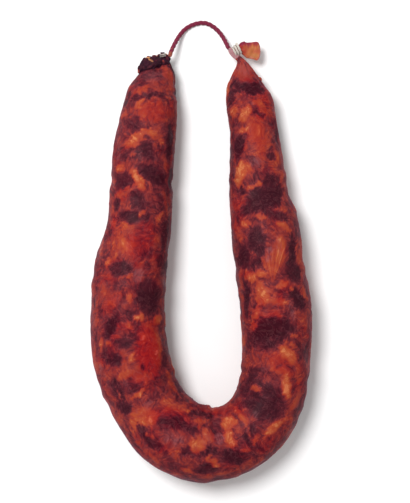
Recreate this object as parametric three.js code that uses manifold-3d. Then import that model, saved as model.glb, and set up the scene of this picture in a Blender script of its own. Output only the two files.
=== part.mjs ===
// A horseshoe of cured sausage in its natural casing, lying on its side: a bent, lumpy body whose two
// ends are gathered and bound with twine, and a short red string that joins the ends so that it can be hung.
// Millimetres. +Z is up, the open end of the horseshoe points along +Y, and the underside rests on z = 0.

import * as THREE from "three";
import { LoftGeometry } from "three/addons/geometries/LoftGeometry.js";
import { mergeVertices } from "three/addons/utils/BufferGeometryUtils.js";
import Module from "manifold-3d";

const wasm = await Module();
wasm.setup();

// Driving dimensions

const bodyHeightShare = 0.97; // a lying sausage is a little lower than it is wide
const settle = 0.55; // how far the round underside is pressed flat
const tipHeight = 9.5; // height of both tips' middle above the rest surface
const tipBlend = 1.2; // how softly the middle line rises to the tips
const pressedEdge = 4; // how sharply the smooth strip that it lies on ends
// Relief of the filling, and of the dried, crumpled casing: each is full where half the width reaches fullAt
const lumps = { depth: 0.34, length: 31, count: 6, fullAt: 10 };
const folds = { depth: 0.5, length: 7, count: 4, fullAt: 3 };
// How each wave of the relief differs from the one before it
const waveSteps = { finer: 0.45, turn: 2.4, drift: 0.37, lobes: 3, mostLobes: 5 };
const stringRadius = 1.15;
const stringSides = 8;
const stringSteps = 26;
const twineSides = 7;
const twineStepsPerTurn = 16;
const bodySides = 28;
const bodyRingsPerPoint = 3;
const gather = { sides: 16, ringsPerPoint: 4, crumple: 1 };
const neck = { sides: 10, ringsPerPoint: 2, crumple: 0 };
const tail = { sides: 18, ringsPerPoint: 3, crumple: 0.3 };
const knobDetail = 2;
const mergeDistance = 1e-4;

const casingFinish = { color: 0x7c2f2c, roughness: 0.45 };
const stainedTwineFinish = { color: 0xb9a88c, roughness: 0.85 };
const cleanTwineFinish = { color: 0xd8d2c4, roughness: 0.85 };
const stringFinish = { color: 0x85344c, roughness: 0.8 };

// The body's middle line, from the left tip down, round the bend and up to the right tip:
// x, y, half the width
const bodyLine = [
  [-18.0, 101.8, 0.9],
  [-18.3, 100.2, 2.3],
  [-18.8, 97.8, 4.0],
  [-19.7, 94.3, 6.9],
  [-21.9, 90.2, 10.0],
  [-23.9, 85.4, 12.2],
  [-25.4, 79.5, 13.2],
  [-27.0, 67.8, 14.6],
  [-28.8, 55.6, 15.4],
  [-29.8, 42.0, 15.4],
  [-30.5, 28.0, 15.8],
  [-31.4, 15.5, 16.2],
  [-33.9, 4.0, 17.3],
  [-35.9, -8.0, 18.2],
  [-36.7, -21.0, 18.4],
  [-36.7, -35.0, 18.8],
  [-35.0, -49.0, 19.0],
  [-31.2, -62.0, 18.6],
  [-25.5, -73.5, 18.3],
  [-17.6, -83.3, 19.2],
  [-7.0, -89.8, 19.4],
  [5.0, -92.1, 18.5],
  [16.8, -89.4, 17.7],
  [26.6, -82.2, 17.3],
  [33.2, -71.5, 17.1],
  [36.4, -59.0, 17.1],
  [37.5, -45.5, 17.1],
  [37.7, -32.0, 17.7],
  [36.5, -18.5, 17.8],
  [34.3, -6.0, 17.1],
  [32.9, 6.5, 17.5],
  [31.5, 18.5, 16.8],
  [29.0, 30.1, 15.1],
  [28.0, 42.7, 14.1],
  [27.2, 54.9, 13.1],
  [26.1, 66.5, 12.1],
  [24.5, 77.1, 12.1],
  [23.2, 82.0, 11.1],
  [22.3, 86.0, 9.7],
  [21.7, 89.9, 7.9],
  [21.2, 93.9, 5.9],
  [20.7, 97.4, 3.6],
  [20.0, 99.8, 2.1],
  [19.0, 101.2, 1.2],
  [17.5, 102.05, 0.85],
  [15.95, 103.1, 0.7],
  [14.85, 104.3, 0.7],
  [14.2, 105.4, 0.65],
  [13.85, 106.4, 0.55],
];

// The left end's dried, gathered casing, which hugs the shoulder:
// x, y, height, half the width, half the depth
const gatherLine = [
  [-16.3, 101.2, 9.7, 0.5, 0.6],
  [-16.8, 100.7, 10.1, 1.1, 1.4],
  [-17.8, 99.9, 10.8, 1.9, 2.4],
  [-19.4, 99.1, 11.5, 2.3, 3.0],
  [-22.0, 99.0, 12.2, 3.1, 3.4],
  [-25.2, 98.5, 12.3, 4.2, 3.9],
  [-28.2, 96.9, 11.8, 3.8, 3.7],
  [-30.5, 95.1, 11.0, 2.2, 2.5],
  [-31.7, 93.7, 10.6, 0.8, 0.9],
];

// Small folds that stand out of the gathered casing: the middle of each and its radius.
// The last one is the fold that the string comes out of.
const gatherKnobs = [
  [-26.7, 101.0, 11.3, 1.6],
  [-23.7, 101.7, 10.9, 1.6],
  [-29.7, 97.6, 11.3, 1.6],
  [-16.8, 101.4, 9.6, 1.1],
];

// A small bead of fat that stands out on the right end's outer flank:
// x, y, height, half the width, half the depth
const beadLine = [
  [28.3, 89.4, 10.2, 0.9, 0.9],
  [28.8, 90.4, 10.4, 1.5, 1.4],
  [29.0, 91.4, 10.5, 1.4, 1.3],
  [28.9, 92.2, 10.5, 0.6, 0.6],
];

// The left end's neck, inside its twine
const leftNeckLine = [
  [-18.6, 100.0, 9.6, 0.8, 0.8],
  [-19.4, 101.5, 9.9, 0.78, 0.78],
  [-19.6, 102.9, 10.1, 0.74, 0.74],
  [-19.7, 104.1, 10.3, 0.76, 0.76],
  [-19.7, 104.7, 10.3, 0.6, 0.6],
];

// The right end's tail: the casing is doubled back through its twine and opens into a flat stub
const tailLine = [
  [14.3, 104.6, 9.7, 0.5, 0.5],
  [15.1, 105.0, 9.8, 0.85, 0.85],
  [16.3, 105.35, 10.0, 0.95, 0.95],
  [17.5, 105.85, 10.1, 1.25, 1.25],
  [18.6, 106.35, 10.2, 1.7, 1.7],
  [19.8, 106.9, 10.2, 2.3, 2.0],
  [21.6, 106.7, 10.0, 3.5, 1.6],
  [24.2, 106.0, 9.7, 4.1, 1.1],
  [27.0, 105.6, 9.4, 4.7, 0.85],
  [28.8, 105.5, 9.2, 4.3, 0.75],
  [29.7, 105.5, 9.1, 2.6, 0.5],
];

// The string's middle line: it leaves the left neck, comes down to the rest surface,
// and climbs to the right twine
const stringLine = [
  [-16.3, 102.7, 9.2],
  [-15.2, 105.8, 8.7],
  [-13.5, 109.8, 6.7],
  [-11.4, 113.9, 3.9],
  [-8.8, 117.4, 1.9],
  [-5.5, 119.7, 1.25],
  [-1.5, 121.0, 1.2],
  [2.2, 121.0, 1.2],
  [5.5, 119.5, 1.25],
  [8.4, 117.0, 1.7],
  [10.8, 113.7, 3.1],
  [12.5, 110.2, 5.4],
  [13.8, 107.0, 7.6],
];

// Each binding: where the neck enters and leaves it, the twine's radius, and the coil's radius at each end
const leftTwine = {
  from: [-19.58, 102.55, 10.1],
  to: [-19.7, 104.15, 10.3],
  twine: 0.4,
  start: 1.42,
  end: 1.42,
  turns: 1.8,
};
const rightTwine = {
  from: [16.3, 105.4, 10.0],
  to: [19.2, 106.55, 10.2],
  twine: 0.6,
  start: 1.75,
  end: 3.2,
  turns: 2.4,
};

// Shape helpers

// The smaller of two heights gives way softly to the larger one
function softMax(a, b, blend) {
  return (a + b + Math.hypot(a - b, blend)) / 2;
}

// Low relief as a few crossed waves, so that no two stretches look alike
function waves(along, around, longest, count) {
  let sum = 0;
  for (let k = 0; k < count; k += 1) {
    const length = longest / (1 + waveSteps.finer * k);
    const lobes = 1 + ((k * waveSteps.lobes) % waveSteps.mostLobes);
    const turn = (2 * Math.PI * along) / length + waveSteps.turn * k;
    sum += Math.sin(turn + lobes * around) * Math.cos(waveSteps.drift * turn - lobes * around + k);
  }
  return sum / Math.sqrt(count);
}

// Distances along a list of points, summed at each point
function distances(points) {
  const sums = [0];
  for (let i = 1; i < points.length; i += 1) {
    sums.push(sums[i - 1] + Math.hypot(points[i][0] - points[i - 1][0], points[i][1] - points[i - 1][1]));
  }
  return sums;
}

// A list's value at a share of the way through it
function between(list, share) {
  const place = share * (list.length - 1);
  const i = Math.min(Math.floor(place), list.length - 2);
  return list[i] + (list[i + 1] - list[i]) * (place - i);
}

function smoothLine(points) {
  const knots = points.map(([x, y, z]) => new THREE.Vector3(x, y, z));
  return new THREE.CatmullRomCurve3(knots, false, "catmullrom");
}

// One ring of points round a middle point. The ring stands upright, across the line's direction in plan.
function ring(centre, ahead, sides, reach) {
  const side = new THREE.Vector3(-ahead.y, ahead.x, 0).normalize();
  const points = [];
  for (let j = 0; j < sides; j += 1) {
    const angle = (2 * Math.PI * j) / sides;
    const { across, up } = reach(angle);
    const point = centre.clone().addScaledVector(side, across * Math.cos(angle));
    point.z = Math.max(0, centre.z + up * Math.sin(angle));
    points.push(point);
  }
  return points;
}

function closedSolid(geometry) {
  const bare = new THREE.BufferGeometry();
  bare.setAttribute("position", geometry.attributes.position);
  bare.setIndex(geometry.index);
  const merged = mergeVertices(bare, mergeDistance);
  return new wasm.Manifold(
    new wasm.Mesh({
      numProp: 3,
      vertProperties: merged.attributes.position.array,
      triVerts: new Uint32Array(merged.index.array),
    }),
  );
}

function geometryOf(solid) {
  const { vertProperties, triVerts } = solid.getMesh();
  const geometry = new THREE.BufferGeometry();
  geometry.setAttribute("position", new THREE.BufferAttribute(new Float32Array(vertProperties), 3));
  geometry.setIndex(new THREE.BufferAttribute(new Uint32Array(triVerts), 1));
  geometry.computeVertexNormals();
  return geometry;
}

function capped(rings) {
  return closedSolid(new LoftGeometry(rings, { capStart: true, capEnd: true }));
}

// The sausage

function bodySolid() {
  const line = smoothLine(bodyLine); // its third value is half the width
  const along = distances(bodyLine);
  const count = (bodyLine.length - 1) * bodyRingsPerPoint;
  const rings = [];
  for (let i = 0; i <= count; i += 1) {
    const share = i / count;
    const { x, y, z: halfWidth } = line.getPoint(share);
    const halfHeight = halfWidth * bodyHeightShare;
    const centre = new THREE.Vector3(x, y, softMax(halfHeight - settle, tipHeight, tipBlend));
    const distance = between(along, share);
    const relief = lumps.depth * Math.min(1, halfWidth / lumps.fullAt);
    rings.push(
      ring(centre, line.getTangent(share), bodySides, (angle) => {
        const pressed = Math.max(0, -Math.sin(angle)) ** pressedEdge;
        const lump = relief * (1 - pressed) * waves(distance, angle, lumps.length, lumps.count);
        return { across: halfWidth + lump, up: halfHeight + lump };
      }),
    );
  }
  return capped(rings);
}

// A smaller length of casing along its own line, crumpled by a share of the folds' depth
function casingSolid(points, { sides, ringsPerPoint, crumple }) {
  const line = smoothLine(points);
  const widths = points.map((point) => point[3]);
  const depths = points.map((point) => point[4]);
  const along = distances(points);
  const count = (points.length - 1) * ringsPerPoint;
  const rings = [];
  for (let i = 0; i <= count; i += 1) {
    const share = i / count;
    const halfWidth = between(widths, share);
    const distance = between(along, share);
    const depth = folds.depth * crumple * Math.min(1, halfWidth / folds.fullAt);
    rings.push(
      ring(line.getPoint(share), line.getTangent(share), sides, (angle) => {
        const fold = depth * waves(distance, angle, folds.length, folds.count);
        return { across: halfWidth + fold, up: between(depths, share) + fold / 2 };
      }),
    );
  }
  return capped(rings);
}

function knobSolid([x, y, z, radius]) {
  return closedSolid(new THREE.IcosahedronGeometry(radius, knobDetail).translate(x, y, z));
}

// Twine wound round a neck, as one coil whose turns lie side by side
function twineGeometry({ from, to, twine, start, end, turns }) {
  const base = new THREE.Vector3(...from);
  const axis = new THREE.Vector3(...to).sub(base);
  const side = new THREE.Vector3(-axis.y, axis.x, 0).normalize();
  const up = new THREE.Vector3().crossVectors(axis, side).normalize();
  const steps = Math.round(turns * twineStepsPerTurn);
  const points = [];
  for (let i = 0; i <= steps; i += 1) {
    const share = i / steps;
    const angle = 2 * Math.PI * turns * share;
    const radius = start + (end - start) * share;
    points.push(
      base
        .clone()
        .addScaledVector(axis, share)
        .addScaledVector(side, radius * Math.cos(angle))
        .addScaledVector(up, radius * Math.sin(angle)),
    );
  }
  return tubeGeometry(new THREE.CatmullRomCurve3(points), twine, twineSides, steps);
}

function tubeGeometry(curve, radius, sides, steps) {
  const section = new THREE.Shape();
  for (let j = 0; j < sides; j += 1) {
    const angle = (2 * Math.PI * j) / sides;
    const x = radius * Math.cos(angle);
    const y = radius * Math.sin(angle);
    if (j === 0) section.moveTo(x, y);
    else section.lineTo(x, y);
  }
  section.closePath();
  return new THREE.ExtrudeGeometry(section, { steps, bevelEnabled: false, extrudePath: curve });
}

function named(name, geometry, finish) {
  const mesh = new THREE.Mesh(geometry, new THREE.MeshStandardMaterial({ ...finish, metalness: 0 }));
  mesh.name = name;
  return mesh;
}

let sausageSolid = bodySolid()
  .add(casingSolid(gatherLine, gather))
  .add(casingSolid(beadLine, neck))
  .add(casingSolid(leftNeckLine, neck))
  .add(casingSolid(tailLine, tail));
for (const knob of gatherKnobs) sausageSolid = sausageSolid.add(knobSolid(knob));

const stringGeometry = tubeGeometry(smoothLine(stringLine), stringRadius, stringSides, stringSteps);

const part = new THREE.Group();
part.add(
  named("sausage", geometryOf(sausageSolid), casingFinish),
  named("left_twine", twineGeometry(leftTwine), stainedTwineFinish),
  named("right_twine", twineGeometry(rightTwine), cleanTwineFinish),
  named("string", stringGeometry, stringFinish),
);

export default part;
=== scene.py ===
import math

import bmesh
import bpy
import numpy as np
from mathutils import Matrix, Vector, noise


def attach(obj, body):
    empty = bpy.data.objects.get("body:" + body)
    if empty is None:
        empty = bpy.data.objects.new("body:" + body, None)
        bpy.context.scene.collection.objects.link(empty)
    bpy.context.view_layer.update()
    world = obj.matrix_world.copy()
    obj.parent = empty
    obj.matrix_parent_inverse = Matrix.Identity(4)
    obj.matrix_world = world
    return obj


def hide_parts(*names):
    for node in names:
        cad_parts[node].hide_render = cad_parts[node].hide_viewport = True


# A horseshoe of cured sausage lying on a pale floor, its ends bound with twine and joined by a crimson string.
# Lists of points and sizes are in millimetres, in the frame's axes, and mm turns them into metres.

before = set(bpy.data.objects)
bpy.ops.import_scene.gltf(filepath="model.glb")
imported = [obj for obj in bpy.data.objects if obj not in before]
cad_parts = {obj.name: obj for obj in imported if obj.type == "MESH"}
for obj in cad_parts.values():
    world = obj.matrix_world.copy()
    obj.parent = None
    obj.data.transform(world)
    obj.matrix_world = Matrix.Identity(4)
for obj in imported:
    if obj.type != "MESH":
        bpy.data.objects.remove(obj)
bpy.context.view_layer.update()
mm = 0.001
scene = bpy.context.scene
random = np.random.default_rng(23)


# Camera: straight above, with the open end of the horseshoe at the top of the picture

cameraSetup = {
    "lens": 100,
    "sensor": 36,
    "pictureHeight": 251.5,
    "focusHeight": 17,
    "centre": (1.75, 4.25),
}


def makeCamera(setup):
    data = bpy.data.cameras.new("camera")
    data.lens = setup["lens"]
    data.sensor_width = setup["sensor"]
    camera = bpy.data.objects.new("camera", data)
    distance = setup["lens"] * setup["pictureHeight"] / setup["sensor"]
    x, y = setup["centre"]
    camera.location = (x * mm, y * mm, (setup["focusHeight"] + distance) * mm)
    scene.collection.objects.link(camera)
    scene.camera = camera
    print("camera", round(distance), "mm above the sausage")


makeCamera(cameraSetup)


# Lines and skins

def smoothLine(points, shares):
    knots = np.array(points, float)
    knots = np.vstack([2 * knots[0] - knots[1], knots, 2 * knots[-1] - knots[-2]])
    place = np.clip(shares, 0, 1) * (len(points) - 1)
    i = np.minimum(place.astype(int), len(points) - 2)
    t = (place - i)[:, None]
    a, b, c, d = knots[i], knots[i + 1], knots[i + 2], knots[i + 3]
    return 0.5 * (2 * b + (c - a) * t + (2 * a - 5 * b + 4 * c - d) * t**2 + (3 * b - a - 3 * c + d) * t**3)


def alongLine(points, shares):
    # the straight-line distance along the listed points, in plan
    steps = np.linalg.norm(np.diff(np.array(points, float)[:, :2], axis=0), axis=1)
    return np.interp(shares, np.linspace(0, 1, len(points)), np.r_[0, np.cumsum(steps)])


def unit(vectors):
    return vectors / np.maximum(np.linalg.norm(vectors, axis=-1, keepdims=True), 1e-9)


def smoothStep(low, high, values):
    t = np.clip((values - low) / (high - low), 0, 1)
    return t * t * (3 - 2 * t)


def waves(along, around, longest, count):
    total = 0
    for k in range(count):
        lobes = 1 + (k * 3) % 5
        turn = 2 * math.pi * along * (1 + 0.45 * k) / longest + 2.4 * k
        total = total + np.sin(turn + lobes * around) * np.cos(0.37 * turn - lobes * around + k)
    return total / math.sqrt(count)


def noiseAt(points, scale, shift=0.0, octaves=3):
    # soft noise from about -1 to 1 at each point
    return np.array([noise.fractal(Vector(p), 1.0, 2.0, octaves) for p in points * scale + shift])


def noiseShift(points, scale, reach, shift=0.0):
    # moves each point to and fro by up to about the reach
    moved = [noise.turbulence_vector(Vector(p), 3, False) for p in points * scale + shift]
    return points + reach * np.array(moved)


def roundEnds(share, blunt):
    # 0 at both ends and 1 past the rounding, so that a skin closes to a point at each end
    near = np.clip(np.minimum(share, 1 - share) / blunt, 0, 1)
    return np.sqrt(1 - (1 - near) ** 2)


def wrapSkin(name, place, rings, sides):
    # a flat grid wrapped into a closed skin; place gives the points in mm and the marks that the materials read
    bm = bmesh.new()
    bmesh.ops.create_grid(bm, x_segments=sides, y_segments=rings, size=1)
    mesh = bpy.data.meshes.new(name)
    bm.to_mesh(mesh)
    flat = np.empty(len(mesh.vertices) * 3, np.float32)
    mesh.vertices.foreach_get("co", flat)
    grid = flat.reshape(-1, 3).astype(float)
    points, marks = place((grid[:, 1] + 1) / 2, (grid[:, 0] + 1) * math.pi)
    mesh.vertices.foreach_set("co", (points * mm).astype(np.float32).ravel())
    for mark, values in marks.items():
        layer = mesh.attributes.new(mark, "FLOAT", "POINT")
        layer.data.foreach_set("value", np.broadcast_to(values, len(points)).astype(np.float32))
    bm.clear()
    bm.from_mesh(mesh)
    bmesh.ops.remove_doubles(bm, verts=bm.verts, dist=1e-7)
    bmesh.ops.dissolve_degenerate(bm, edges=bm.edges, dist=1e-8)
    bmesh.ops.recalc_face_normals(bm, faces=bm.faces)
    for face in bm.faces:
        face.smooth = True
    bm.to_mesh(mesh)
    bm.free()
    piece = bpy.data.objects.new(name, mesh)
    scene.collection.objects.link(piece)
    return piece


def frameAlong(line, reference):
    # at each point of a line: ahead, to the side and up
    ahead = unit(np.gradient(line, axis=0))
    side = unit(np.cross(np.broadcast_to(reference, line.shape), ahead))
    return ahead, side, np.cross(ahead, side)


def finishPiece(piece, material, slotName, *nodes):
    piece.data.materials.append(material)
    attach(piece, "root")
    if nodes:
        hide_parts(*nodes)
    print(piece.name, len(piece.data.polygons), "faces")


# Colours and shader groups

def rgb(red, green, blue):
    # a colour given as 0 to 255, as the shader's own linear values
    linear = [(c / 255 / 12.92) if c < 10.3 else ((c / 255 + 0.055) / 1.055) ** 2.4 for c in (red, green, blue)]
    return (*linear, 1)


def addNode(tree, kind, **values):
    node = tree.nodes.new(kind)
    for name, value in values.items():
        if hasattr(node, name):
            setattr(node, name, value)
        else:
            node.inputs[name.replace("_", " ")].default_value = value
    return node


def wire(tree, source, target):
    tree.links.new(source, target)


def mathNode(tree, operation, first, second, third=None):
    node = tree.nodes.new("ShaderNodeMath")
    node.operation = operation
    for socket, value in zip(node.inputs, (first, second, third)):
        if isinstance(value, bpy.types.NodeSocket):
            tree.links.new(value, socket)
        elif value is not None:
            socket.default_value = value
    return node.outputs[0]


def noiseNode(tree, vector, scale, detail=3.0, roughness=0.55, distortion=0.0):
    node = addNode(tree, "ShaderNodeTexNoise", Scale=scale, Detail=detail, Roughness=roughness, Distortion=distortion)
    wire(tree, vector, node.inputs["Vector"])
    return node.outputs["Fac"]


def newGroup(name, inputs, outputs):
    group = bpy.data.node_groups.new(name, "ShaderNodeTree")
    for socket, kind in inputs.items():
        group.interface.new_socket(socket, in_out="INPUT", socket_type=kind)
    for socket, kind in outputs.items():
        group.interface.new_socket(socket, in_out="OUTPUT", socket_type=kind)
    return group, group.nodes.new("NodeGroupInput"), group.nodes.new("NodeGroupOutput")


def smoothMask(tree, value, low, high):
    node = tree.nodes.new("ShaderNodeMapRange")
    node.interpolation_type = "SMOOTHSTEP"
    wire(tree, value, node.inputs["Value"])
    node.inputs["From Min"].default_value = low
    node.inputs["From Max"].default_value = high
    return node.outputs["Result"]


def thinLines(tree, vector, scale, distortion, sharpness):
    # a mask of thin lines that wander over the surface
    crossing = noiseNode(tree, vector, scale, 3, 0.55, distortion)
    ridge = mathNode(tree, "ABSOLUTE", mathNode(tree, "SUBTRACT", crossing, 0.5), None)
    line = mathNode(tree, "SUBTRACT", 1, mathNode(tree, "MULTIPLY", ridge, sharpness))
    return mathNode(tree, "MAXIMUM", line, 0)


def mixValue(tree, mask, first, second):
    node = tree.nodes.new("ShaderNodeMix")
    for socket, value in zip((node.inputs[0], node.inputs[2], node.inputs[3]), (mask, first, second)):
        wire(tree, value, socket)
    return node.outputs[0]


def flowing(tree, vector, scale, reach):
    # carries the places that a pattern reads to and fro, so that its shapes swirl
    swirl = addNode(tree, "ShaderNodeTexNoise", Scale=scale, Detail=2.0)
    wire(tree, vector, swirl.inputs["Vector"])
    centred = addNode(tree, "ShaderNodeVectorMath", operation="SUBTRACT")
    wire(tree, swirl.outputs["Color"], centred.inputs[0])
    centred.inputs[1].default_value = (0.5, 0.5, 0.5)
    moved = addNode(tree, "ShaderNodeVectorMath", operation="MULTIPLY_ADD")
    wire(tree, centred.outputs[0], moved.inputs[0])
    moved.inputs[1].default_value = (reach, reach, reach)
    wire(tree, vector, moved.inputs[2])
    return moved.outputs[0]


def stretchedNoise(tree, vector, turn):
    # noise drawn out along the line that stands at this turn from the length of the legs
    stretch = addNode(tree, "ShaderNodeMapping", vector_type="TEXTURE")
    stretch.inputs["Rotation"].default_value = (0, 0, math.radians(turn))
    stretch.inputs["Scale"].default_value = (1 / 700, 1 / 130, 1 / 300)
    wire(tree, vector, stretch.inputs["Vector"])
    return noiseNode(tree, stretch.outputs["Vector"], 1, 2, 0.55, 0.3)


def makeMarbling():
    # breaks the soft marks of lean and fat up into ragged edges, flecks and fibres
    group, given, made = newGroup(
        "meatMarbling",
        {"Vector": "NodeSocketVector", "Tone": "NodeSocketFloat", "Fibre": "NodeSocketFloat",
         "Fan": "NodeSocketFloat", "Calm": "NodeSocketFloat", "Ragged": "NodeSocketFloat"},
        {"Tone": "NodeSocketFloat", "Height": "NodeSocketFloat", "Vein": "NodeSocketFloat",
         "Fibres": "NodeSocketFloat"},
    )
    vector = flowing(group, given.outputs["Vector"], 62, 0.011)
    broad = noiseNode(group, vector, 90, 3, 0.55, 1.2)
    mid = noiseNode(group, vector, 220, 2, 0.5, 1.6)
    fine = noiseNode(group, vector, 700, 2, 0.55, 1.6)
    # muscle fibres run three ways, each in its own patches
    patches = noiseNode(group, vector, 48, 1, 0.5)
    fibres = mixValue(group, smoothMask(group, patches, 0.42, 0.5), stretchedNoise(group, vector, 35),
                      stretchedNoise(group, vector, -25))
    fibres = mixValue(group, smoothMask(group, patches, 0.53, 0.6), fibres, stretchedNoise(group, vector, 95))
    # strands that fan out from one root, each at its own angle round it
    fanned = group.nodes.new("ShaderNodeCombineXYZ")
    wire(group, mathNode(group, "MULTIPLY_ADD", broad, 1.6, mathNode(group, "MULTIPLY", given.outputs["Fan"], 13)),
         fanned.inputs["X"])
    wire(group, broad, fanned.inputs["Y"])
    strands = noiseNode(group, fanned.outputs["Vector"], 1, 2, 0.5)
    # dark fissures between the chunks, and thin pale veins, both where a warped noise crosses its middle value
    fissure = thinLines(group, vector, 95, 1.4, 17)
    vein = thinLines(group, vector, 170, 2.0, 26)
    shift = mathNode(group, "MULTIPLY", mathNode(group, "SUBTRACT", broad, 0.5), 1.15)
    shift = mathNode(group, "MULTIPLY_ADD", mathNode(group, "SUBTRACT", mid, 0.5), 1.15, shift)
    shift = mathNode(group, "MULTIPLY_ADD", mathNode(group, "SUBTRACT", fine, 0.5), 0.2, shift)
    shift = mathNode(group, "MULTIPLY_ADD", mathNode(group, "SUBTRACT", fibres, 0.5), 0.9, shift)
    shift = mathNode(group, "MULTIPLY_ADD", fissure, -0.34, shift)
    streak = mathNode(group, "MULTIPLY", vein, smoothMask(group, mid, 0.45, 0.7))
    shift = mathNode(group, "MULTIPLY_ADD", streak, 0.5, shift)
    # the hearts of dark and bright chunks are calmer than their edges
    squared = mathNode(group, "MULTIPLY", given.outputs["Tone"], given.outputs["Tone"])
    calm = mathNode(group, "SUBTRACT", 1, mathNode(group, "MULTIPLY", mathNode(group, "MINIMUM", squared, 1), 0.5))
    calm = mathNode(group, "MULTIPLY", calm, mathNode(group, "SUBTRACT", 1, given.outputs["Calm"]))
    shift = mathNode(group, "MULTIPLY", shift, mathNode(group, "MULTIPLY", calm, given.outputs["Ragged"]))
    threads = mathNode(group, "MULTIPLY", mathNode(group, "SUBTRACT", strands, 0.52), given.outputs["Fibre"])
    shift = mathNode(group, "MULTIPLY_ADD", threads, 2.6, shift)
    tone = mathNode(group, "ADD", given.outputs["Tone"], shift)
    wire(group, mathNode(group, "MULTIPLY_ADD", tone, 0.46, 0.5), made.inputs["Tone"])
    height = mathNode(group, "MULTIPLY_ADD", fine, 0.3, mathNode(group, "MULTIPLY", mid, 0.6))
    height = mathNode(group, "MULTIPLY_ADD", fissure, -0.16, height)
    wire(group, mathNode(group, "MULTIPLY_ADD", tone, 0.2, height), made.inputs["Height"])
    wire(group, vein, made.inputs["Vein"])
    wire(group, fibres, made.inputs["Fibres"])
    return group


def makeCasingSurface():
    # the dried casing's fine wrinkles, and gloss that comes and goes
    group, given, made = newGroup(
        "casingSurface",
        {"Vector": "NodeSocketVector", "Height": "NodeSocketFloat", "Gloss": "NodeSocketFloat"},
        {"Height": "NodeSocketFloat", "Roughness": "NodeSocketFloat"},
    )
    vector = given.outputs["Vector"]
    wrinkles = noiseNode(group, vector, 520, 4, 0.62, 1.6)
    pores = noiseNode(group, vector, 2300, 2, 0.5)
    dull = noiseNode(group, vector, 70, 3, 0.6)
    height = mathNode(group, "MULTIPLY_ADD", wrinkles, 0.6, mathNode(group, "MULTIPLY", pores, 0.12))
    wire(group, mathNode(group, "ADD", height, given.outputs["Height"]), made.inputs["Height"])
    rough = mathNode(group, "MULTIPLY_ADD", mathNode(group, "SUBTRACT", dull, 0.5), 0.5, given.outputs["Gloss"])
    rough = mathNode(group, "MULTIPLY_ADD", mathNode(group, "SUBTRACT", wrinkles, 0.5), 0.25, rough)
    wire(group, rough, made.inputs["Roughness"])
    return group


def makeThreadFibres():
    # spun fibres: soft streaks that turn with the twist, and a fuzz of lighter specks; on the natural twine they mix a
    # painted shade and a painted highlight
    group, given, made = newGroup(
        "threadFibres",
        {"Vector": "NodeSocketVector", "Along": "NodeSocketFloat", "Around": "NodeSocketFloat"},
        {"Mask": "NodeSocketFloat", "Height": "NodeSocketFloat"},
    )
    turn = mathNode(group, "MULTIPLY_ADD", given.outputs["Along"], 5.5, given.outputs["Around"])
    streak = mathNode(group, "MULTIPLY_ADD", mathNode(group, "SINE", mathNode(group, "MULTIPLY", turn, 7), 0), 0.5, 0.5)
    fuzz = noiseNode(group, given.outputs["Vector"], 2600, 3, 0.7)
    blend = mathNode(group, "MULTIPLY_ADD", fuzz, 0.65, mathNode(group, "MULTIPLY", streak, 0.35))
    wire(group, blend, made.inputs["Mask"])
    wire(group, mathNode(group, "MULTIPLY_ADD", streak, 0.7, fuzz), made.inputs["Height"])
    return group


marbling = makeMarbling()
casingSurface = makeCasingSurface()
threadFibres = makeThreadFibres()


def newMaterial(name):
    material = bpy.data.materials.new(name)
    material.use_nodes = True
    tree = material.node_tree
    shader = tree.nodes["Principled BSDF"]
    place = tree.nodes.new("ShaderNodeTexCoord")
    return material, tree, shader, place.outputs["Object"]


def placeGroup(tree, group, **values):
    node = tree.nodes.new("ShaderNodeGroup")
    node.node_tree = group
    for name, value in values.items():
        if isinstance(value, bpy.types.NodeSocket):
            tree.links.new(value, node.inputs[name])
        else:
            node.inputs[name].default_value = value
    return node


def readMark(tree, name):
    return addNode(tree, "ShaderNodeAttribute", attribute_name=name).outputs["Fac"]


def colourRamp(tree, mask, stops):
    ramp = tree.nodes.new("ShaderNodeValToRGB")
    elements = ramp.color_ramp.elements
    elements.remove(elements[1])
    elements[0].position, elements[0].color = stops[0]
    for position, colour in stops[1:]:
        elements.new(position).color = colour
    wire(tree, mask, ramp.inputs["Fac"])
    return ramp.outputs["Color"]


def mixColour(tree, mask, first, second, blend="MIX"):
    node = tree.nodes.new("ShaderNodeMix")
    node.data_type = "RGBA"
    node.blend_type = blend
    for socket, value in zip((node.inputs[0], node.inputs[6], node.inputs[7]), (mask, first, second)):
        if isinstance(value, bpy.types.NodeSocket):
            tree.links.new(value, socket)
        else:
            socket.default_value = value
    return node.outputs[2]


def bumpNormal(tree, shader, height, strength, distance):
    bump = addNode(tree, "ShaderNodeBump", Strength=strength, Distance=distance)
    wire(tree, height, bump.inputs["Height"])
    wire(tree, bump.outputs["Normal"], shader.inputs["Normal"])


# From dark lean through red to bright fat
meatStops = [
    (0.02, rgb(56, 18, 28)),
    (0.10, rgb(64, 22, 32)),
    (0.25, rgb(81, 28, 37)),
    (0.40, rgb(104, 36, 42)),
    (0.53, rgb(128, 44, 42)),
    (0.68, rgb(148, 53, 41)),
    (0.82, rgb(158, 64, 42)),
    (0.93, rgb(168, 78, 48)),
    (1.00, rgb(188, 108, 68)),
]


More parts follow.
